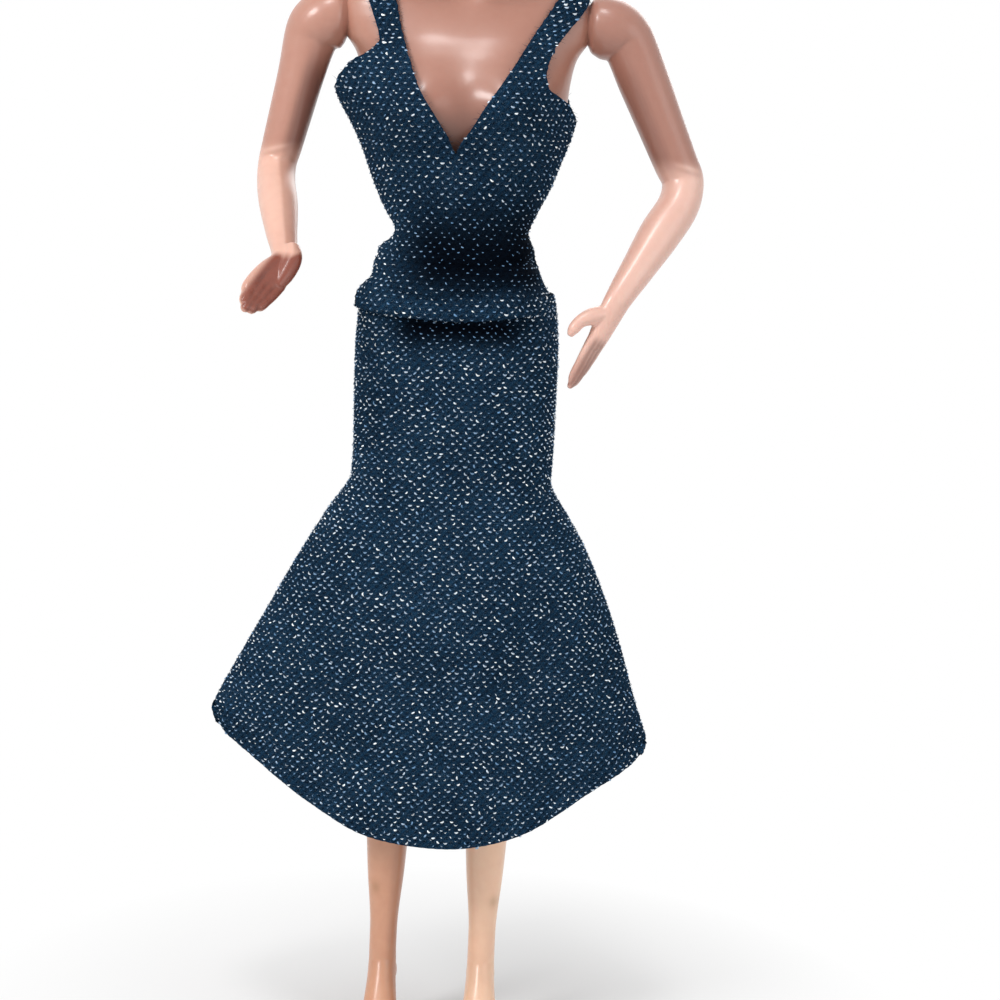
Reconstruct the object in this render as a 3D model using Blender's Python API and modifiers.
"""A jointed fashion doll in a sleeveless knitted evening dress.

The origin is the centre of the doll's waist. +Z runs up to the head and the
doll faces -Y, so its right hand is on the -X side. Lengths are in metres.

The moulded body is a torso and a pelvis, each in a front and a back half,
with a waist spindle between them, a head on a neck knob, two arms with
shoulder plugs and two legs with a clicking knee inside. The dress is a
bodice with straps, a bunched waist, a fitted hip and a flared skirt.
"""
import math

import bmesh
import bpy
from mathutils import Matrix, Vector

MM = 0.001

# Driving dimensions of the body, taken from the waist
WAIST_TO_SOLE = 190.0 * MM
WAIST_TO_CROWN = 100.0 * MM
WAIST_TO_SHOULDER = 45.5 * MM
WAIST_TO_HIP = 35.0 * MM
WAIST_TO_KNEE = 108.0 * MM
WAIST_TO_ANKLE = 168.0 * MM
WAIST_TO_NECK_TOP = 73.5 * MM
TORSO_SPAN = 68.0 * MM
CHIN_DROP = 34.5 * MM
CHEST_HALF_WIDTH = 24.0 * MM
CHEST_DEPTH = 13.0 * MM
HIP_HALF_WIDTH = 21.4 * MM
HIP_DEPTH = 17.8 * MM
BUST_RISE = 7.6 * MM
BUST_SPREAD = 10.0 * MM
BUST_HEIGHT = 27.0 * MM
BUST_SOFTNESS = 6.4 * MM

# Running clearances and moulding sizes
CLEARANCE = 0.3 * MM
RUNNING_GAP = 0.35 * MM
MOULD_WALL = 2.2 * MM
OVERRUN = 40.0 * MM
EDGE_ROUND = 1.2 * MM
WELD_DISTANCE = 0.01 * MM

# Shoulder, plug and socket
SHOULDER_X = 27.3 * MM
SHOULDER_RADIUS = 6.9 * MM
SHOULDER_OUT = 4.2 * MM
PLUG_RADIUS = 2.5 * MM
PLUG_LENGTH = 7.5 * MM
PLUG_FLANGE_RADIUS = 3.8 * MM
PLUG_FLANGE_LENGTH = 1.6 * MM

# Arm lengths and thicknesses
UPPER_ARM_LENGTH = 36.5 * MM
FOREARM_LENGTH = 32.0 * MM
HAND_LENGTH = 20.5 * MM
ARM_RADIUS = 5.6 * MM
THUMB_LENGTH = 8.5 * MM
THUMB_RADIUS = 1.35 * MM

# Waist spindle
SPINDLE_RADIUS = 4.6 * MM
SPINDLE_FLANGE_RADIUS = 7.4 * MM
SPINDLE_FLANGE_LENGTH = 2.0 * MM
SPINDLE_DEPTH = 6.0 * MM

# Neck knob
NECK_STEM_RADIUS = 2.2 * MM
NECK_FLANGE_RADIUS = 3.6 * MM
NECK_FLANGE_LENGTH = 1.8 * MM
NECK_STEM_LENGTH = 19.0 * MM
NECK_KNOB_RADIUS = 4.6 * MM
NECK_HOLE_RADIUS = 6.6 * MM

# Head
HEAD_HALF_WIDTH = 12.8 * MM
HEAD_HALF_DEPTH = 15.2 * MM
HEAD_FORWARD = 1.5 * MM
HEAD_WALL = 3.4 * MM
NOSE_LENGTH = 1.9 * MM
HAIR_THICKNESS = 2.4 * MM
BUN_RADIUS = 8.2 * MM
BUN_RISE = 5.4 * MM
HAIR_BAND_THICKNESS = 1.0 * MM
HAIR_BAND_RADIUS = 4.2 * MM

# Hip joint
HIP_SPACING = 11.4 * MM
HIP_DRUM_RADIUS = 12.4 * MM
HIP_DRUM_INNER = 4.0 * MM
HIP_DRUM_SHOULDER = 9.5 * MM
HIP_DRUM_OUTER = HIP_HALF_WIDTH - RUNNING_GAP
HIP_AXLE_RADIUS = 2.2 * MM
HIP_AXLE_LENGTH = 30.0 * MM
CROTCH_HALF_WIDTH = 3.5 * MM

# Leg
THIGH_HALF_WIDTH = 9.9 * MM
THIGH_HALF_DEPTH = 11.6 * MM
CALF_HALF_WIDTH = 6.1 * MM
CALF_HALF_DEPTH = 7.0 * MM
RIGHT_ANKLE_OUT = 12.6 * MM
LEFT_ANKLE_OUT = 10.6 * MM
FOOT_LENGTH = 22.0 * MM
FOOT_HALF_WIDTH = 4.6 * MM
HEEL_RADIUS = 4.0 * MM

# Knee drum and the clicking links inside it
KNEE_RADIUS = 6.4 * MM
KNEE_HALF_WIDTH = 6.2 * MM
KNEE_POCKET_RADIUS = 4.3 * MM
KNEE_POCKET_HALF_WIDTH = 3.3 * MM
KNEE_BEND_DEG = 42.0
LINK_RADIUS = 1.9 * MM
LINK_EYE_RADIUS = 3.4 * MM
LINK_TONGUE_HALF_WIDTH = 0.9 * MM
LINK_EAR_THICKNESS = 1.2 * MM
UPPER_LINK_LENGTH = 30.0 * MM
LOWER_LINK_LENGTH = 26.0 * MM
KNEE_PIN_RADIUS = 0.9 * MM

# Dress
CLOTH = 0.9 * MM
BODICE_EASE = 3.0 * MM
HIP_EASE = 1.4 * MM
BODICE_TOP = 38.0 * MM
NECKLINE_HEIGHT = 18.0 * MM
NECKLINE_SHIFT = 1.5 * MM
STRAP_WIDTH = 7.8 * MM
STRAP_FOOT_WIDTH = 10.8 * MM
STRAP_HEIGHT = 48.0 * MM
STRAP_INNER = {"right": 12.9 * MM, "left": 17.2 * MM}
STRAP_BACK_OUT = 14.5 * MM
BACK_TOP_SHARE = 0.9
WAIST_SEAM = 0.6 * MM
GATHER_BOTTOM = 19.0 * MM
GATHER_ROLL = 2.4 * MM
GATHER_ROLL_HEIGHT = 14.5 * MM
FLARE_TOP = 56.0 * MM
FLARE_DEPTH_FRONT = 22.0 * MM
FLARE_DEPTH_BACK = 36.0 * MM
FLARE_CORNER_RIGHT = 53.7 * MM
FLARE_CORNER_LEFT = 47.6 * MM
HEM_CORNER_RIGHT = 113.0 * MM
HEM_CORNER_LEFT = 117.0 * MM
HEM_CENTRE = 136.0 * MM
FLARE_FOLD = 2.2 * MM
SNAP_RADIUS = 1.7 * MM
SNAP_THICKNESS = 0.7 * MM

# Arm poses: where each stretch of an arm points
UPPER_ARM_DIRECTION = {"right": (-0.275, -0.055, -0.96), "left": (0.445, -0.053, -0.894)}
FOREARM_DIRECTION = {"right": (0.165, -0.86, -0.48), "left": (-0.383, -0.525, -0.76)}
HAND_DIRECTION = {"right": (-0.40, -0.72, -0.57), "left": (-0.48, -0.02, -0.877)}
HAND_FACING = {"right": (-0.5, 0.75, -0.45), "left": (0.35, -0.9, -0.25)}

# Sections of the torso: share of its span, half width, front and back depth
TORSO_SHARES = (
    (0.003, 0.550, 0.92, 0.92),
    (0.075, 0.630, 0.94, 0.94),
    (0.155, 0.735, 0.96, 0.97),
    (0.235, 0.815, 0.98, 1.01),
    (0.310, 0.880, 1.00, 1.06),
    (0.400, 0.930, 1.00, 1.09),
    (0.490, 0.960, 0.98, 1.08),
    (0.560, 1.010, 0.88, 1.02),
    (0.620, 1.120, 0.76, 0.92),
    (0.680, 1.180, 0.66, 0.80),
    (0.740, 1.080, 0.60, 0.72),
    (0.785, 0.730, 0.55, 0.64),
    (0.825, 0.370, 0.50, 0.55),
    (0.870, 0.262, 0.46, 0.50),
    (0.930, 0.242, 0.44, 0.47),
    (1.000, 0.238, 0.43, 0.46),
)
# Sections of the pelvis: depth below the waist, half width, front and back depth
PELVIS_SHARES = (
    (0.006, 0.618, 0.67, 0.67),
    (0.180, 0.715, 0.69, 0.75),
    (0.370, 0.850, 0.71, 0.85),
    (0.560, 0.960, 0.73, 0.95),
    (0.770, 1.000, 0.72, 1.00),
    (0.900, 1.000, 0.69, 1.00),
    (1.020, 0.980, 0.66, 0.97),
)
# Sections of the thigh: way from the hip to the knee, half width, half depth
THIGH_SHARES = (
    (0.00, 0.93, 0.92),
    (0.14, 0.97, 0.96),
    (0.28, 0.99, 0.95),
    (0.45, 0.93, 0.87),
    (0.65, 0.81, 0.75),
    (0.84, 0.69, 0.64),
    (1.00, 0.63, 0.57),
)
# Sections of the shin: way from the knee to the ankle, half width, half depth,
# and how far the calf lies behind the bone
SHIN_SHARES = (
    (0.00, 1.00, 0.90, 0.00),
    (0.12, 1.00, 0.98, 0.10),
    (0.26, 1.00, 1.02, 0.20),
    (0.45, 0.86, 0.90, 0.18),
    (0.70, 0.70, 0.68, 0.08),
    (0.88, 0.54, 0.54, 0.02),
    (1.00, 0.52, 0.54, 0.00),
)
# Sections of the foot: forward share of its length, drop share of the ankle
# height, half width share, half thickness share of the foot's half width
FOOT_SHARES = (
    (-0.02, 0.16, 0.74, 0.96),
    (0.10, 0.36, 0.84, 0.98),
    (0.30, 0.57, 0.90, 0.80),
    (0.52, 0.77, 0.98, 0.66),
    (0.72, 0.90, 1.04, 0.52),
    (0.88, 0.945, 0.94, 0.40),
    (0.99, 0.96, 0.60, 0.26),
)
# The shoulder fans round the armpit: how wide its turn is for its height, and
# the size of its sections along the turn
SHOULDER_REACH_SHARE = 1.25
SHOULDER_SHARES = ((0.0, 1.00), (0.2, 1.04), (0.4, 1.06), (0.6, 1.02), (0.8, 0.93), (1.0, 0.85))
# Sections of an arm: way along the stretch, radius across and through it
UPPER_ARM_SHARES = (
    (0.25, 0.98, 1.02),
    (0.55, 0.90, 0.94),
    (0.80, 0.84, 0.86),
    (0.93, 0.80, 0.82),
)
FOREARM_SHARES = (
    (0.12, 0.80, 0.82),
    (0.38, 0.80, 0.76),
    (0.68, 0.66, 0.62),
    (0.96, 0.53, 0.45),
)
HAND_SHARES = (
    (0.16, 0.60, 0.36),
    (0.38, 0.76, 0.30),
    (0.60, 0.70, 0.24),
    (0.84, 0.46, 0.19),
    (0.99, 0.22, 0.12),
)
# Thickness of the thumb along its length
THUMB_SHARES = ((0.0, 1.1), (0.45, 1.0), (0.8, 0.85), (1.0, 0.45))
# Sections of the dress above the waist: height in steps of the bodice top,
# half width, front and back depth
BODICE_SHARES = (
    (0.00, 0.635, 0.870, 0.870),
    (0.13, 0.725, 0.880, 0.900),
    (0.28, 0.830, 0.910, 0.940),
    (0.42, 0.910, 0.930, 0.970),
    (0.56, 0.990, 0.940, 0.990),
    (0.71, 1.050, 0.930, 1.010),
    (0.86, 1.085, 0.900, 1.010),
    (1.00, 1.110, 0.840, 1.000),
)
# Sections of the dress below the waist: drop in steps of the hip's height,
# half width, front and back depth
SKIRT_SHARES = (
    (0.000, 0.643, 0.725, 0.725),
    (0.152, 0.729, 0.733, 0.750),
    (0.282, 0.810, 0.750, 0.800),
    (0.402, 0.901, 0.775, 0.875),
    (0.543, 0.937, 0.792, 0.958),
    (0.738, 0.957, 0.800, 1.000),
    (0.977, 0.957, 0.792, 1.000),
    (1.303, 0.952, 0.767, 0.950),
    (1.607, 0.950, 0.758, 0.917),
)
# Width of the flare from its top to the hem corner on each side
RIGHT_FLARE_SHARES = (
    (0.00, 0.434),
    (0.12, 0.510),
    (0.32, 0.636),
    (0.53, 0.757),
    (0.74, 0.877),
    (0.95, 0.992),
    (1.00, 1.000),
)
LEFT_FLARE_SHARES = (
    (0.00, 0.460),
    (0.08, 0.520),
    (0.25, 0.647),
    (0.44, 0.755),
    (0.63, 0.843),
    (0.82, 0.918),
    (1.00, 1.000),
)


def clear_scene():
    for item in list(bpy.data.objects):
        bpy.data.objects.remove(item, do_unlink=True)


def make_collection(name):
    collection = bpy.data.collections.new(name)
    bpy.context.scene.collection.children.link(collection)
    return collection


def make_material(name, colour, roughness, metallic=0.0):
    material = bpy.data.materials.new(name)
    material.use_nodes = True
    shader = material.node_tree.nodes["Principled BSDF"]
    shader.inputs["Base Color"].default_value = (*colour, 1.0)
    shader.inputs["Roughness"].default_value = roughness
    shader.inputs["Metallic"].default_value = metallic
    return material


clear_scene()
DOLL = make_collection("fashion_doll")
CUTTERS = make_collection("cutters")
SKIN = make_material("skin_vinyl", (0.62, 0.35, 0.25), 0.32)
HAIR = make_material("rooted_hair", (0.10, 0.05, 0.025), 0.5)
KNIT = make_material("lurex_knit", (0.012, 0.035, 0.06), 0.7)
NYLON = make_material("white_nylon", (0.75, 0.73, 0.68), 0.45)
STEEL = make_material("snap_metal", (0.55, 0.55, 0.56), 0.3, 1.0)
ELASTIC = make_material("elastic", (0.03, 0.03, 0.035), 0.8)


def add_part(name, mesh, material=None):
    """Put a mesh in the doll, or with no material among the cutters."""
    part = bpy.data.objects.new(name, mesh)
    if material is None:
        CUTTERS.objects.link(part)
        part.hide_render = True
        part.display_type = "WIRE"
        return part
    DOLL.objects.link(part)
    mesh.materials.append(material)
    return part


def finish_mesh(name, shape, smooth=True):
    mesh = bpy.data.meshes.new(name)
    bmesh.ops.recalc_face_normals(shape, faces=shape.faces)
    shape.to_mesh(mesh)
    shape.free()
    if smooth:
        mesh.shade_smooth()
        mesh.set_sharp_from_angle(angle=math.radians(40))
    return mesh


def loft(name, rings, material=None):
    """Close a body between rings that all have the same number of points."""
    shape = bmesh.new()
    rows = [[shape.verts.new(point) for point in ring] for ring in rings]
    count = len(rows[0])
    for low, high in zip(rows, rows[1:]):
        for index in range(count):
            after = (index + 1) % count
            shape.faces.new((low[index], low[after], high[after], high[index]))
    shape.faces.new(rows[0][::-1])
    shape.faces.new(rows[-1])
    return add_part(name, finish_mesh(name, shape), material)


def cylinder(name, centre, axis, radius, length, material=None, sides=20, round_edge=0.0):
    shape = bmesh.new()
    turn = Vector((0, 0, 1)).rotation_difference(Vector(axis)).to_matrix().to_4x4()
    place = Matrix.Translation(centre) @ turn
    bmesh.ops.create_cone(shape, cap_ends=True, segments=sides, radius1=radius, radius2=radius,
                          depth=length, matrix=place)
    if round_edge:
        rims = [edge for edge in shape.edges if len(edge.link_faces) == 2
                and any(len(face.verts) == sides for face in edge.link_faces)]
        bmesh.ops.bevel(shape, geom=rims, offset=round_edge, segments=2, affect="EDGES", profile=0.5)
    return add_part(name, finish_mesh(name, shape), material)


def block(name, low, high, material=None):
    shape = bmesh.new()
    bmesh.ops.create_cube(shape, size=1.0)
    low, high = Vector(low), Vector(high)
    size = high - low
    bmesh.ops.scale(shape, vec=size, verts=shape.verts)
    bmesh.ops.translate(shape, vec=(low + high) / 2, verts=shape.verts)
    return add_part(name, finish_mesh(name, shape, smooth=False), material)


def ball(name, centre, size, material=None, rings=12, sides=20):
    shape = bmesh.new()
    bmesh.ops.create_uvsphere(shape, u_segments=sides, v_segments=rings, radius=1.0)
    bmesh.ops.scale(shape, vec=size, verts=shape.verts)
    bmesh.ops.translate(shape, vec=centre, verts=shape.verts)
    return add_part(name, finish_mesh(name, shape), material)


def turned(name, outline, centre, axis, material=None, steps=28):
    """Spin an outline of (radius, height) round an axis through a centre."""
    mesh = bpy.data.meshes.new(name)
    points = [(radius, 0.0, height) for radius, height in outline]
    edges = [(index, index + 1) for index in range(len(points) - 1)]
    mesh.from_pydata(points, edges, [])
    part = add_part(name, mesh, material)
    spin = part.modifiers.new("spin", "SCREW")
    spin.steps = steps
    spin.render_steps = steps
    spin.use_merge_vertices = True
    spin.merge_threshold = WELD_DISTANCE
    part.rotation_mode = "QUATERNION"
    part.rotation_quaternion = Vector((0, 0, 1)).rotation_difference(Vector(axis))
    part.location = centre
    return part


def boolean(part, tool, operation):
    step = part.modifiers.new(tool.name, "BOOLEAN")
    step.operation = operation
    step.solver = "EXACT"
    step.object = tool


def cut(part, *tools):
    for tool in tools:
        boolean(part, tool, "DIFFERENCE")


def join(part, *tools):
    for tool in tools:
        boolean(part, tool, "UNION")


def keep_inside(part, tool):
    boolean(part, tool, "INTERSECT")


def along(rows, place):
    """Read a table of sections at any place, with a smooth curve between rows."""
    if place <= rows[0][0]:
        return rows[0][1:]
    if place >= rows[-1][0]:
        return rows[-1][1:]
    index = next(i for i in range(len(rows) - 1) if rows[i + 1][0] >= place)
    start, end = rows[index], rows[index + 1]
    before = rows[max(index - 1, 0)]
    after = rows[min(index + 2, len(rows) - 1)]
    span = end[0] - start[0]
    t = (place - start[0]) / span
    values = []
    for column in range(1, len(start)):
        slope_in = (end[column] - before[column]) / max(end[0] - before[0], span) * span
        slope_out = (after[column] - start[column]) / max(after[0] - start[0], span) * span
        values.append((2 * t**3 - 3 * t**2 + 1) * start[column] + (t**3 - 2 * t**2 + t) * slope_in
                      + (-2 * t**3 + 3 * t**2) * end[column] + (t**3 - t**2) * slope_out)
    return tuple(values)


def swell(value, power):
    return math.copysign(abs(value) ** power, value)


def section(angle, half_width, front, back, squareness=0.9):
    """A point of an egg-shaped section; the front is at three quarters of a turn."""
    depth = back if math.sin(angle) > 0 else front
    return half_width * swell(math.cos(angle), squareness), depth * swell(math.sin(angle), squareness)


def bell(distance, spread):
    return math.exp(-0.5 * (distance / spread) ** 2)


def bust(x, z, rise):
    """How far the chest stands forward of the rib cage at a point."""
    height = bell(z - BUST_HEIGHT, BUST_SOFTNESS)
    return rise * height * (bell(x - BUST_SPREAD, BUST_SOFTNESS) + bell(x + BUST_SPREAD, BUST_SOFTNESS))


def circle(count):
    return [2 * math.pi * index / count for index in range(count)]


def torso_rings(inset, low, high, rows, sides):
    """Rings of the torso between two heights, drawn in by an inset."""
    rings = []
    for step in range(rows):
        z = low + (high - low) * step / (rows - 1)
        width, front, back = along(TORSO_SHARES, z / TORSO_SPAN)
        ring = []
        for angle in circle(sides):
            x, y = section(angle, width * CHEST_HALF_WIDTH - inset, front * CHEST_DEPTH - inset,
                           back * CHEST_DEPTH - inset)
            if y < 0:
                y -= bust(x, z, BUST_RISE) * min(1.0, -y / (CHEST_DEPTH - inset) * 1.6)
            ring.append((x, y, z))
        rings.append(ring)
    return rings


def shoulder_centre(side):
    return Vector((side * SHOULDER_X, 0, WAIST_TO_SHOULDER))


def half_space(name, front):
    """A block that holds all of the front, or of the back, of the body."""
    reach = WAIST_TO_SOLE
    near, far = (-reach, -CLEARANCE / 2) if front else (CLEARANCE / 2, reach)
    return block(name, (-reach, near, -reach), (reach, far, reach))


def make_torso():
    """Two thin moulded halves that trap the arms, the neck knob and the spindle."""
    floor = SPINDLE_FLANGE_LENGTH + CLEARANCE + MOULD_WALL
    hollow_top = WAIST_TO_SHOULDER - SHOULDER_RADIUS - CLEARANCE
    hollow = loft("torso_hollow", torso_rings(MOULD_WALL, MOULD_WALL + CLEARANCE, hollow_top, 6, 16))
    spindle_bore = cylinder("torso_spindle_bore", (0, 0, 0), (0, 0, 1), SPINDLE_RADIUS + RUNNING_GAP,
                            2 * (floor + OVERRUN / 8))
    flange_room = cylinder("torso_flange_room", (0, 0, floor - SPINDLE_FLANGE_LENGTH / 2), (0, 0, 1),
                           SPINDLE_FLANGE_RADIUS + RUNNING_GAP, SPINDLE_FLANGE_LENGTH + 2 * CLEARANCE)
    tools = [hollow, spindle_bore, flange_room]
    for side, label in ((-1, "right"), (1, "left")):
        seat = shoulder_centre(side)
        socket_shift = Vector((side * (OVERRUN / 2 - CLEARANCE), 0, 0))
        tools.append(cylinder(f"{label}_shoulder_socket", seat + socket_shift, (1, 0, 0),
                              SHOULDER_RADIUS + RUNNING_GAP, OVERRUN))
        tools.append(cylinder(f"{label}_plug_bore", seat, (1, 0, 0), PLUG_RADIUS + RUNNING_GAP,
                              2 * (PLUG_LENGTH + CLEARANCE)))
        flange = seat - Vector((side * (PLUG_LENGTH - PLUG_FLANGE_LENGTH / 2), 0, 0))
        tools.append(cylinder(f"{label}_plug_room", flange, (1, 0, 0), PLUG_FLANGE_RADIUS + RUNNING_GAP,
                              PLUG_FLANGE_LENGTH + 2 * CLEARANCE))
    stem_foot = WAIST_TO_NECK_TOP - NECK_STEM_LENGTH
    tools.append(cylinder("neck_bore", (0, 0, stem_foot + OVERRUN / 2 - CLEARANCE), (0, 0, 1),
                          NECK_STEM_RADIUS + RUNNING_GAP, OVERRUN))
    tools.append(cylinder("neck_flange_room", (0, 0, stem_foot + NECK_FLANGE_LENGTH / 2), (0, 0, 1),
                          NECK_FLANGE_RADIUS + RUNNING_GAP, NECK_FLANGE_LENGTH + 2 * CLEARANCE))
    loft("torso_guide", torso_rings(0.0, CLEARANCE / 2, WAIST_TO_NECK_TOP, 36, 44))
    for front, name in ((True, "torso_front"), (False, "torso_back")):
        part = loft(name, torso_rings(0.0, CLEARANCE / 2, WAIST_TO_NECK_TOP, 18, 22), SKIN)
        cut(part, *tools)
        keep_inside(part, half_space(f"{name}_half", front))
    knob_rise = WAIST_TO_NECK_TOP + NECK_KNOB_RADIUS + CLEARANCE
    arc = [math.radians(90 - 24 * step) for step in range(7)]
    outline = [(NECK_KNOB_RADIUS * math.cos(angle), knob_rise + NECK_KNOB_RADIUS * math.sin(angle))
               for angle in arc]
    outline[0] = (0.0, knob_rise + NECK_KNOB_RADIUS)
    outline = [point for point in outline if point[0] > NECK_STEM_RADIUS or point[1] > knob_rise]
    outline += [(NECK_STEM_RADIUS, WAIST_TO_NECK_TOP + CLEARANCE * 2),
                (NECK_STEM_RADIUS, stem_foot + NECK_FLANGE_LENGTH),
                (NECK_FLANGE_RADIUS, stem_foot + NECK_FLANGE_LENGTH),
                (NECK_FLANGE_RADIUS, stem_foot), (0.0, stem_foot)]
    turned("neck_knob", outline, (0, 0, 0), (0, 0, 1), NYLON, 12)


def pelvis_rings(rows, sides):
    rings = []
    for step in range(rows):
        share = PELVIS_SHARES[0][0] + (PELVIS_SHARES[-1][0] - PELVIS_SHARES[0][0]) * step / (rows - 1)
        width, front, back = along(PELVIS_SHARES, share)
        ring = [(*section(angle, width * HIP_HALF_WIDTH, front * HIP_DEPTH, back * HIP_DEPTH),
                 -share * WAIST_TO_HIP) for angle in circle(sides)]
        rings.append(ring)
    return rings[::-1]


def make_pelvis():
    """A saddle over the two thigh drums, with a disc between them for the axle."""
    hip = Vector((0, 0, -WAIST_TO_HIP))
    crotch = cylinder("crotch_disc", hip, (1, 0, 0), HIP_DRUM_RADIUS, 2 * CROTCH_HALF_WIDTH, sides=32)
    clear_radius = HIP_DRUM_RADIUS + RUNNING_GAP + CLEARANCE
    tools = []
    for side, label in ((-1, "right"), (1, "left")):
        inner = side * (CROTCH_HALF_WIDTH + OVERRUN / 2)
        tools.append(cylinder(f"{label}_thigh_room", hip + Vector((inner, 0, 0)), (1, 0, 0),
                              clear_radius, OVERRUN, sides=32))
        ends = sorted((side * CROTCH_HALF_WIDTH, side * (CROTCH_HALF_WIDTH + OVERRUN)))
        tools.append(block(f"{label}_sitting_room", (ends[0], -OVERRUN, -WAIST_TO_HIP - OVERRUN),
                           (ends[1], 0, -WAIST_TO_HIP + clear_radius)))
    axle_bore = cylinder("pelvis_axle_bore", hip, (1, 0, 0), HIP_AXLE_RADIUS + RUNNING_GAP, OVERRUN)
    flange_z = -SPINDLE_DEPTH + SPINDLE_FLANGE_LENGTH / 2
    spindle_room = cylinder("pelvis_flange_room", (0, 0, flange_z), (0, 0, 1),
                            SPINDLE_FLANGE_RADIUS + RUNNING_GAP, SPINDLE_FLANGE_LENGTH + 2 * CLEARANCE)
    spindle_bore = cylinder("pelvis_spindle_bore", (0, 0, 0), (0, 0, 1), SPINDLE_RADIUS + RUNNING_GAP,
                            2 * SPINDLE_DEPTH)
    for front, name in ((True, "pelvis_front"), (False, "pelvis_back")):
        part = loft(name, pelvis_rings(7, 24), SKIN)
        cut(part, *tools)
        join(part, crotch)
        cut(part, axle_bore, spindle_room, spindle_bore)
        keep_inside(part, half_space(f"{name}_half", front))
    cylinder("hip_axle", hip, (1, 0, 0), HIP_AXLE_RADIUS, HIP_AXLE_LENGTH, STEEL, 20)
    top = MOULD_WALL + CLEARANCE * 2
    outline = [(0.0, top + SPINDLE_FLANGE_LENGTH), (SPINDLE_FLANGE_RADIUS, top + SPINDLE_FLANGE_LENGTH),
               (SPINDLE_FLANGE_RADIUS, top), (SPINDLE_RADIUS, top),
               (SPINDLE_RADIUS, flange_z + SPINDLE_FLANGE_LENGTH / 2),
               (SPINDLE_FLANGE_RADIUS, flange_z + SPINDLE_FLANGE_LENGTH / 2),
               (SPINDLE_FLANGE_RADIUS, -SPINDLE_DEPTH), (0.0, -SPINDLE_DEPTH)]
    turned("waist_spindle", outline, (0, 0, 0), (0, 0, 1), NYLON, 20)


def tube_rings(stations, sides):
    """Rings across a path. A station is a centre, a side vector and two radii."""
    rings = []
    for index, (centre, aside, across, through) in enumerate(stations):
        before = stations[max(index - 1, 0)][0]
        after = stations[min(index + 1, len(stations) - 1)][0]
        tangent = (after - before).normalized()
        aside = (aside - tangent * aside.dot(tangent)).normalized()
        other = tangent.cross(aside)
        rings.append([centre + aside * across * math.cos(angle) + other * through * math.sin(angle)
                      for angle in circle(sides)])
    return rings


def arm_points(label):
    """Elbow, wrist and fingertip, with the side that the arm is on."""
    side = -1 if label == "right" else 1
    start = shoulder_centre(side) + Vector((side * SHOULDER_OUT, 0, 0))
    elbow = start + Vector(UPPER_ARM_DIRECTION[label]).normalized() * UPPER_ARM_LENGTH
    wrist = elbow + Vector(FOREARM_DIRECTION[label]).normalized() * FOREARM_LENGTH
    tip = wrist + Vector(HAND_DIRECTION[label]).normalized() * HAND_LENGTH
    return side, elbow, wrist, tip


def shoulder_rings(label, side, sides):
    """Rings that fan round the armpit, from the socket's face to the upper arm."""
    spoke_length = SHOULDER_RADIUS + RUNNING_GAP
    armpit = shoulder_centre(side) - Vector((0, 0, spoke_length))
    out, _, down = UPPER_ARM_DIRECTION[label]
    start = math.radians(90)
    end = math.atan(abs(out / down) * SHOULDER_REACH_SHARE)
    rings = []
    for share, size in SHOULDER_SHARES:
        turn = start + (end - start) * share
        spoke = Vector((side * SHOULDER_REACH_SHARE * math.cos(turn), 0, math.sin(turn))) * spoke_length
        across = spoke.normalized() * SHOULDER_RADIUS * size
        through = Vector((0, -side * SHOULDER_RADIUS * size, 0))
        rings.append([armpit + spoke + across * math.cos(angle) + through * math.sin(angle)
                      for angle in circle(sides)])
    return rings, armpit + spoke


def make_arm(label):
    """An arm with its shoulder and the plug that the torso traps."""
    side, elbow, wrist, tip = arm_points(label)
    flat = Vector(HAND_FACING[label]).normalized()
    palm_aside = (tip - wrist).cross(flat).normalized()
    palm_aside *= math.copysign(1, palm_aside.x * side)
    arm_aside = Vector((side, 0, 0))
    sides = 14
    rings, start = shoulder_rings(label, side, sides)
    stretches = ((start, elbow, UPPER_ARM_SHARES, 0.0, 0.0), (elbow, wrist, FOREARM_SHARES, 0.0, 1.0),
                 (wrist, tip, HAND_SHARES, 1.0, 1.0))
    stations = []
    for low, high, shares, first_turn, last_turn in stretches:
        for share, across, through in shares:
            aside = arm_aside.lerp(palm_aside, first_turn + (last_turn - first_turn) * share)
            stations.append((low.lerp(high, share), aside, across * ARM_RADIUS, through * ARM_RADIUS))
    arm = loft(f"{label}_arm", rings + tube_rings(stations, sides), SKIN)
    neck_end = PLUG_FLANGE_LENGTH - PLUG_LENGTH
    outline = [(0.0, PLUG_RADIUS), (PLUG_RADIUS, PLUG_RADIUS), (PLUG_RADIUS, neck_end),
               (PLUG_FLANGE_RADIUS, neck_end), (PLUG_FLANGE_RADIUS, -PLUG_LENGTH), (0.0, -PLUG_LENGTH)]
    join(arm, turned(f"{label}_shoulder_plug", outline, shoulder_centre(side), (side, 0, 0), None, 18))
    thumb_root = wrist.lerp(tip, 0.20)
    thumb_tip = thumb_root + ((tip - wrist).normalized() * 0.85 - palm_aside * 0.5) * THUMB_LENGTH
    thumb_stations = [(thumb_root.lerp(thumb_tip, share), flat, THUMB_RADIUS * size, THUMB_RADIUS * size)
                      for share, size in THUMB_SHARES]
    join(arm, loft(f"{label}_thumb", tube_rings(thumb_stations, 8)))


def leg_points(label):
    side = -1 if label == "right" else 1
    ankle_out = RIGHT_ANKLE_OUT if label == "right" else LEFT_ANKLE_OUT
    hip = Vector((side * HIP_SPACING, 0, -WAIST_TO_HIP))
    knee = Vector((side * (HIP_SPACING + ankle_out) / 2, 0, -WAIST_TO_KNEE))
    ankle = Vector((side * ankle_out, 0, -WAIST_TO_ANKLE))
    return side, hip, knee, ankle


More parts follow.
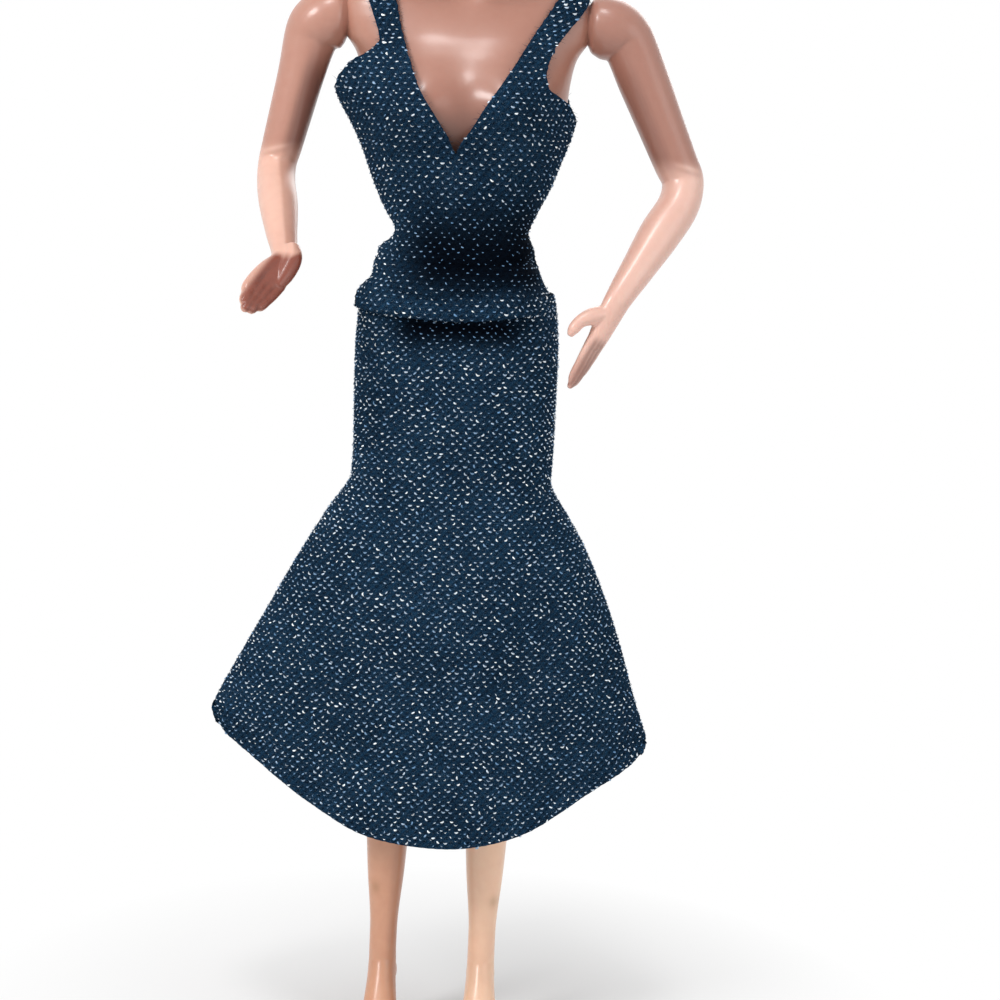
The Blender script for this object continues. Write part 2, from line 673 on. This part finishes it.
def make_thigh(label):
    side, hip, knee = leg_points(label)[:3]
    aside = Vector((1, 0, 0))
    stations = [(hip.lerp(knee, share), aside, across * THIGH_HALF_WIDTH, through * THIGH_HALF_DEPTH)
                for share, across, through in THIGH_SHARES]
    thigh = loft(f"{label}_thigh", tube_rings(stations, 18), SKIN)
    dome = HIP_DRUM_OUTER - HIP_DRUM_SHOULDER
    outline = [(HIP_DRUM_RADIUS * math.cos(angle), HIP_DRUM_SHOULDER + dome * math.sin(angle))
               for angle in [math.radians(90 - 18 * step) for step in range(6)]]
    outline[0] = (0.0, HIP_DRUM_OUTER)
    uncut_face = HIP_DRUM_INNER - EDGE_ROUND
    outline += [(HIP_DRUM_RADIUS, uncut_face), (0.0, uncut_face)]
    drum = turned(f"{label}_hip_drum", outline, (0, 0, hip.z), (side, 0, 0), None, 28)
    join(thigh, drum)
    hip_line = (0, 0, hip.z)
    crotch_room = cylinder(f"{label}_crotch_room", hip_line, (1, 0, 0),
                           HIP_DRUM_RADIUS + 3 * EDGE_ROUND, 2 * HIP_DRUM_INNER, sides=28)
    axle_bore = cylinder(f"{label}_axle_bore", (0, 0, hip.z), (1, 0, 0), HIP_AXLE_RADIUS + RUNNING_GAP,
                         HIP_AXLE_LENGTH + 2 * CLEARANCE, sides=12)
    knee_room = cylinder(f"{label}_knee_room", knee, (1, 0, 0), KNEE_RADIUS + RUNNING_GAP,
                         OVERRUN, sides=24)
    calf_room = block(f"{label}_calf_room", (-OVERRUN, 0, -OVERRUN), (OVERRUN, OVERRUN, 0))
    calf_room.location = knee
    calf_room.rotation_euler = (math.radians(KNEE_BEND_DEG), 0, 0)
    link_middle = knee + Vector((0, 0, UPPER_LINK_LENGTH / 2))
    link_bore = cylinder(f"{label}_upper_link_bore", link_middle, (0, 0, 1), LINK_RADIUS + RUNNING_GAP,
                         UPPER_LINK_LENGTH + 2 * CLEARANCE, sides=12)
    cut(thigh, crotch_room, axle_bore, knee_room, calf_room, link_bore)
    make_upper_link(label, knee)


def eye(name, knee, middle, half_width):
    centre = knee + Vector((middle, 0, 0))
    return cylinder(name, centre, (1, 0, 0), LINK_EYE_RADIUS, 2 * half_width, sides=14)


def make_upper_link(label, knee):
    """A rod with two ears, held in the thigh."""
    rod_foot = LINK_EYE_RADIUS
    rod_middle = knee + Vector((0, 0, (UPPER_LINK_LENGTH + rod_foot) / 2))
    rod = cylinder(f"{label}_upper_link", rod_middle, (0, 0, 1), LINK_RADIUS,
                   UPPER_LINK_LENGTH - rod_foot, NYLON, 12)
    ear_middle = LINK_TONGUE_HALF_WIDTH + CLEARANCE + LINK_EAR_THICKNESS / 2
    for side, word in ((-1, "first"), (1, "second")):
        join(rod, eye(f"{label}_{word}_ear", knee, side * ear_middle, LINK_EAR_THICKNESS / 2))
    bridge = ear_middle + LINK_EAR_THICKNESS / 2
    join(rod, block(f"{label}_ear_bridge",
                    knee + Vector((-bridge, -LINK_RADIUS, LINK_EYE_RADIUS - EDGE_ROUND)),
                    knee + Vector((bridge, LINK_RADIUS, LINK_EYE_RADIUS + EDGE_ROUND))))
    tongue_room = cylinder(f"{label}_tongue_room", knee, (1, 0, 0), LINK_EYE_RADIUS + CLEARANCE,
                           2 * (LINK_TONGUE_HALF_WIDTH + CLEARANCE), sides=14)
    pin_bore = cylinder(f"{label}_upper_pin_bore", knee, (1, 0, 0), KNEE_PIN_RADIUS + CLEARANCE,
                        OVERRUN, sides=12)
    cut(rod, tongue_room, pin_bore)
    cylinder(f"{label}_knee_pin", knee, (1, 0, 0), KNEE_PIN_RADIUS, 2 * bridge, STEEL, 12)


def make_lower_link(label, knee):
    """A rod with one tongue, held in the shin."""
    rod_middle = knee - Vector((0, 0, (LOWER_LINK_LENGTH + LINK_EYE_RADIUS) / 2))
    rod = cylinder(f"{label}_lower_link", rod_middle, (0, 0, 1), LINK_RADIUS,
                   LOWER_LINK_LENGTH - LINK_EYE_RADIUS, NYLON, 12)
    join(rod, eye(f"{label}_tongue", knee, 0, LINK_TONGUE_HALF_WIDTH))
    join(rod, block(f"{label}_tongue_neck",
                    knee - Vector((LINK_TONGUE_HALF_WIDTH, LINK_RADIUS, LINK_EYE_RADIUS + 2 * EDGE_ROUND)),
                    knee + Vector((LINK_TONGUE_HALF_WIDTH, LINK_RADIUS, -EDGE_ROUND))))
    pin_bore = cylinder(f"{label}_lower_pin_bore", knee, (1, 0, 0), KNEE_PIN_RADIUS + CLEARANCE,
                        OVERRUN, sides=12)
    cut(rod, pin_bore)


def make_shin(label):
    """Shin and tiptoe foot, with the knee drum on top and a pocket for the links."""
    knee, ankle = leg_points(label)[2:]
    aside = Vector((1, 0, 0))
    stations = []
    for share, across, through, behind in SHIN_SHARES:
        centre = knee.lerp(ankle, share) + Vector((0, behind * CALF_HALF_DEPTH, 0))
        stations.append((centre, aside, across * CALF_HALF_WIDTH, through * CALF_HALF_DEPTH))
    ankle_height = WAIST_TO_SOLE - WAIST_TO_ANKLE
    for forward, drop, across, through in FOOT_SHARES:
        centre = ankle + Vector((0, -forward * FOOT_LENGTH, -drop * ankle_height))
        stations.append((centre, aside, across * FOOT_HALF_WIDTH, through * FOOT_HALF_WIDTH))
    shin = loft(f"{label}_shin", tube_rings(stations[::-1], 14), SKIN)
    heel = ball(f"{label}_heel", ankle + Vector((0, HEEL_RADIUS * 0.7, -ankle_height * 0.33)),
                (HEEL_RADIUS * 0.85, HEEL_RADIUS, HEEL_RADIUS * 1.15), None, 6, 10)
    drum = cylinder(f"{label}_knee_drum", knee, (1, 0, 0), KNEE_RADIUS, 2 * KNEE_HALF_WIDTH,
                    sides=20, round_edge=EDGE_ROUND)
    join(shin, drum, heel)
    half = KNEE_POCKET_HALF_WIDTH
    pocket = cylinder(f"{label}_knee_pocket", knee, (1, 0, 0), KNEE_POCKET_RADIUS, 2 * half, sides=14)
    mouth = block(f"{label}_pocket_mouth", knee + Vector((-half, -KNEE_POCKET_RADIUS, 0)),
                  knee + Vector((half, OVERRUN / 4, OVERRUN / 4)))
    link_middle = knee - Vector((0, 0, LOWER_LINK_LENGTH / 2))
    link_bore = cylinder(f"{label}_lower_link_bore", link_middle, (0, 0, 1), LINK_RADIUS + RUNNING_GAP,
                         LOWER_LINK_LENGTH + 2 * CLEARANCE, sides=12)
    floor = block(f"{label}_floor", (-OVERRUN, -OVERRUN, -WAIST_TO_SOLE - OVERRUN),
                  (OVERRUN, OVERRUN, -WAIST_TO_SOLE))
    cut(shin, pocket, mouth, link_bore, floor)
    make_lower_link(label, knee)


def head_point(direction, grow):
    """A point of the head's surface along a direction from its centre."""
    x, y, z = direction
    low = max(0.0, -z)
    width = HEAD_HALF_WIDTH * (1 - 0.30 * low**2)
    depth = HEAD_HALF_DEPTH * (1 - 0.16 * low**2)
    height = CHIN_DROP / 2
    back_tuck = 1 - 0.35 * low * max(0.0, y)
    point = Vector((x * width, y * depth * back_tuck, z * height))
    nose = bell(x, 0.10) * bell(z + 0.16, 0.14) if y < 0 else 0.0
    point.y -= NOSE_LENGTH * nose
    return point + Vector((x, y, z)) * grow


def head_centre():
    return Vector((0, -HEAD_FORWARD, WAIST_TO_CROWN - CHIN_DROP / 2))


def head_form(name, grow, material=None, rings=18, sides=28):
    shape = bmesh.new()
    bmesh.ops.create_uvsphere(shape, u_segments=sides, v_segments=rings, radius=1.0)
    for vertex in shape.verts:
        vertex.co = head_centre() + head_point(vertex.co.copy(), grow)
    return add_part(name, finish_mesh(name, shape), material)


def make_head():
    """A hollow soft head with a neck hole, a cap of hair, a band and a bun."""
    centre = head_centre()
    head = head_form("head", 0.0, SKIN, 14, 20)
    hollow_size = Vector((HEAD_HALF_WIDTH, HEAD_HALF_DEPTH, CHIN_DROP / 2)) - Vector([HEAD_WALL] * 3)
    hollow = ball("head_hollow", centre + Vector((0, HEAD_FORWARD, 0)), hollow_size, None, 8, 12)
    neck_hole = cylinder("neck_hole", (0, 0, centre.z - OVERRUN / 2), (0, 0, 1), NECK_HOLE_RADIUS, OVERRUN)
    cut(head, hollow, neck_hole)
    cap = head_form("hair_cap", HAIR_THICKNESS, HAIR, 12, 18)
    skull = head_form("hair_seat", CLEARANCE, None, 14, 20)
    cut(cap, skull)
    brow = centre.z + CHIN_DROP * 0.22
    face_room = block("face_room", (-OVERRUN, -OVERRUN, -OVERRUN), (OVERRUN, 0, 0))
    face_room.location = (0, -HEAD_HALF_DEPTH * 0.30, brow)
    face_room.rotation_euler = (math.radians(-24), 0, 0)
    nape_room = block("nape_room", (-OVERRUN, -OVERRUN, centre.z - OVERRUN),
                      (OVERRUN, OVERRUN, centre.z - CHIN_DROP * 0.22))
    cut(cap, face_room, nape_room)
    bun_way = Vector((0, 0.90, 0.44)).normalized()
    root = centre + head_point(bun_way, HAIR_THICKNESS + CLEARANCE)
    cylinder("hair_band", root + bun_way * HAIR_BAND_THICKNESS / 2, bun_way, HAIR_BAND_RADIUS,
             HAIR_BAND_THICKNESS, ELASTIC, 16)
    bun_centre = root + bun_way * (HAIR_BAND_THICKNESS + CLEARANCE + BUN_RISE)
    bun = ball("hair_bun", (0, 0, 0), (BUN_RADIUS, BUN_RADIUS, BUN_RISE), HAIR, 10, 16)
    bun.rotation_mode = "QUATERNION"
    bun.rotation_quaternion = Vector((0, 0, 1)).rotation_difference(bun_way)
    bun.location = bun_centre


def dress_section(z):
    """Half width, front and back depth of the dress at a height, from the body's sizes."""
    if z > 0:
        width, front, back = along(BODICE_SHARES, z / BODICE_TOP)
        depth = CHEST_DEPTH + BODICE_EASE
        return width * CHEST_HALF_WIDTH, front * depth, back * depth
    width, front, back = along(SKIRT_SHARES, -z / WAIST_TO_HIP)
    depth = HIP_DEPTH + HIP_EASE
    return width * (HIP_HALF_WIDTH + CLOTH + HIP_EASE), front * depth, back * depth


def dress_point(angle, z, stand_off=0.0):
    """A point of the dress above the flare, on the side of the cloth next to the body."""
    width, front, back = dress_section(z)
    roll = GATHER_ROLL * bell(z + GATHER_ROLL_HEIGHT, GATHER_ROLL)
    roll *= 0.55 - 0.45 * math.sin(angle)
    fullness = 0.9 - 0.1 * min(1.0, max(0.0, -z / GATHER_BOTTOM))
    proud = roll + stand_off
    x, y = section(angle, width + stand_off - CLOTH, front + proud, back + proud, fullness)
    if y < 0:
        y -= bust(x, z, BUST_RISE + CLOTH + CLEARANCE) * min(1.0, -y / front * 1.5)
    return Vector((x, y, z))


def cloth_sheet(name, grid, closed, material=KNIT):
    """A sheet of cloth through a grid of points, thickened away from the body."""
    shape = bmesh.new()
    rows = [[shape.verts.new(point) for point in row] for row in grid]
    count = len(rows[0])
    for low, high in zip(rows, rows[1:]):
        for index in range(count if closed else count - 1):
            after = (index + 1) % count
            shape.faces.new((low[index], low[after], high[after], high[index]))
    mesh = bpy.data.meshes.new(name)
    shape.to_mesh(mesh)
    shape.free()
    part = add_part(name, mesh, material)
    wall = part.modifiers.new("cloth", "SOLIDIFY")
    wall.thickness = CLOTH
    wall.offset = 1.0
    return part


def spread(start, end, count):
    return [start + (end - start) * index / (count - 1) for index in range(count)]


def neckline_x(label, z):
    """Where the edge of the deep V, and of the strap above it, lies at a height."""
    side = -1 if label == "right" else 1
    run = (side * STRAP_INNER[label] + NECKLINE_SHIFT) / (STRAP_HEIGHT - NECKLINE_HEIGHT)
    return -NECKLINE_SHIFT + run * (z - NECKLINE_HEIGHT)


def front_top(angle):
    """Top edge of the front bodice: a deep V between the straps."""
    x = dress_point(angle, BODICE_TOP)[0]
    label = "right" if x < -NECKLINE_SHIFT else "left"
    corner = neckline_x(label, BODICE_TOP)
    share = min(1.0, (x + NECKLINE_SHIFT) / (corner + NECKLINE_SHIFT))
    return NECKLINE_HEIGHT + (BODICE_TOP - NECKLINE_HEIGHT) * share


def make_bodice():
    turn = math.pi
    edge = math.asin(CLEARANCE / CHEST_HALF_WIDTH)
    front_angles = spread(turn + edge, 2 * turn - edge, 23)
    heights = spread(0.0, 1.0, 9)
    grid = [[dress_point(angle, WAIST_SEAM + (front_top(angle) - WAIST_SEAM) * share)
             for angle in front_angles] for share in heights]
    cloth_sheet("bodice_front", grid, False)
    for label, start, end in (("left", edge, turn / 2 - edge), ("right", turn / 2 + edge, turn - edge)):
        grid = [[dress_point(angle, WAIST_SEAM + (BODICE_TOP * BACK_TOP_SHARE - WAIST_SEAM) * share)
                 for angle in spread(start, end, 11)] for share in heights]
        cloth_sheet(f"bodice_back_{label}", grid, False)


def depth_at(x, half_width, depth, fullness=0.9):
    """How deep a section is at a distance from its middle."""
    angle = math.acos(min(1.0, (abs(x) / half_width) ** (1 / fullness)))
    return depth * math.sin(angle) ** fullness


def make_strap(label):
    """A strap from the front bodice over the shoulder to the back, laid on the skin."""
    side = -1 if label == "right" else 1
    width, front, back = dress_section(BODICE_TOP)
    foot_x = neckline_x(label, BODICE_TOP) + side * STRAP_FOOT_WIDTH / 2
    top_x = side * (STRAP_INNER[label] + STRAP_WIDTH / 2)
    back_x = side * STRAP_BACK_OUT
    front_y = -depth_at(foot_x, width, front)
    back_y = depth_at(back_x, width, back)
    front_z = BODICE_TOP + WAIST_SEAM
    back_z = BODICE_TOP * BACK_TOP_SHARE + WAIST_SEAM
    top_z = WAIST_TO_SHOULDER + SHOULDER_RADIUS
    grid = []
    for share in spread(0.0, 1.0, 13):
        climb = math.sin(math.pi * share) ** 0.8
        if share < 0.5:
            x = foot_x + (top_x - foot_x) * climb
            y = front_y * math.cos(math.pi * share) ** 0.8
            z = front_z + (top_z - front_z) * climb
            breadth = STRAP_FOOT_WIDTH + (STRAP_WIDTH - STRAP_FOOT_WIDTH) * climb
        else:
            x = back_x + (top_x - back_x) * climb
            y = back_y * abs(math.cos(math.pi * share)) ** 0.8
            z = back_z + (top_z - back_z) * climb
            breadth = STRAP_WIDTH
        grid.append([Vector((x + across * breadth, y, z)) for across in spread(-0.5, 0.5, 5)])
    strap = cloth_sheet(f"strap_{label}", grid, False)
    body = bpy.data.objects["torso_guide"]
    lay = strap.modifiers.new("lay_on_skin", "SHRINKWRAP")
    lay.target = body
    lay.wrap_method = "NEAREST_SURFACEPOINT"
    lay.wrap_mode = "OUTSIDE_SURFACE"
    lay.offset = CLEARANCE + RUNNING_GAP
    strap.modifiers.move(1, 0)


def make_waist_and_hip():
    angles = circle(32)
    gather = [[dress_point(angle, z) for angle in angles]
              for z in spread(-GATHER_BOTTOM, -WAIST_SEAM, 8)]
    cloth_sheet("waist_gather", gather, True)
    hip = [[dress_point(angle, z) for angle in angles]
           for z in spread(-FLARE_TOP + CLEARANCE, -GATHER_BOTTOM - WAIST_SEAM, 6)]
    cloth_sheet("skirt_hip", hip, True)


def flare_point(angle, share):
    """A point of the flared skirt; share runs from its top to the hem."""
    right = math.cos(angle) < 0
    corner = FLARE_CORNER_RIGHT if right else FLARE_CORNER_LEFT
    hem_corner = HEM_CORNER_RIGHT if right else HEM_CORNER_LEFT
    table = RIGHT_FLARE_SHARES if right else LEFT_FLARE_SHARES
    hem = HEM_CENTRE + (hem_corner - HEM_CENTRE) * abs(math.cos(angle)) ** 2.1
    drop = FLARE_TOP + (hem - FLARE_TOP) * share
    fall = min(1.0, (drop - FLARE_TOP) / (hem_corner - FLARE_TOP))
    fall_all = (drop - FLARE_TOP) / (HEM_CENTRE - FLARE_TOP)
    width = along(table, fall)[0] * corner - CLOTH
    top_front, top_back = dress_section(-FLARE_TOP)[1:]
    front = top_front + (FLARE_DEPTH_FRONT - top_front) * fall_all
    back = top_back + (FLARE_DEPTH_BACK - top_back) * fall_all
    power = 0.8 + (0.4 if math.sin(angle) > 0 else 0.85) * fall_all
    depth = back if math.sin(angle) > 0 else front
    x = width * swell(math.cos(angle), 0.8 + 0.2 * fall_all)
    y = depth * swell(math.sin(angle), power)
    centre = 0.5 * corner
    valley = FLARE_FOLD * fall_all * bell(abs(x) - centre, 0.09 * corner)
    y -= math.copysign(valley, math.sin(angle)) * abs(math.sin(angle))
    if math.sin(angle) > 0:
        y += FLARE_FOLD * fall_all * 0.8 * math.cos(4 * angle) * math.sin(angle)
    return Vector((x, y, -drop))


def make_flare():
    """The flared skirt in a front and two back panels that meet at their seams."""
    turn = math.pi
    edge = CLEARANCE / FLARE_CORNER_LEFT
    rows = spread(1.0, CLEARANCE / (HEM_CENTRE - FLARE_TOP), 10)
    panels = (("skirt_front", turn + edge, 2 * turn - edge, 31),
              ("skirt_back_left", edge, turn / 2 - edge, 15),
              ("skirt_back_right", turn / 2 + edge, turn - edge, 15))
    for name, start, end, count in panels:
        grid = [[flare_point(angle, share) for angle in spread(start, end, count)] for share in rows]
        cloth_sheet(name, grid, False)


def make_snaps():
    """Two sewn-on snaps that close the back of the dress."""
    for name, z in (("snap_upper", BODICE_TOP * 0.72), ("snap_lower", BODICE_TOP * 0.22)):
        seat = dress_point(math.pi / 2, z, CLOTH + CLEARANCE * 2)
        cylinder(name, seat + Vector((0, SNAP_THICKNESS / 2, 0)), (0, 1, 0), SNAP_RADIUS,
                 SNAP_THICKNESS, STEEL, 20)


make_torso()
make_pelvis()
for body_side in ("right", "left"):
    make_arm(body_side)
    make_thigh(body_side)
    make_shin(body_side)
    make_strap(body_side)
make_head()
make_bodice()
make_waist_and_hip()
make_flare()
make_snaps()
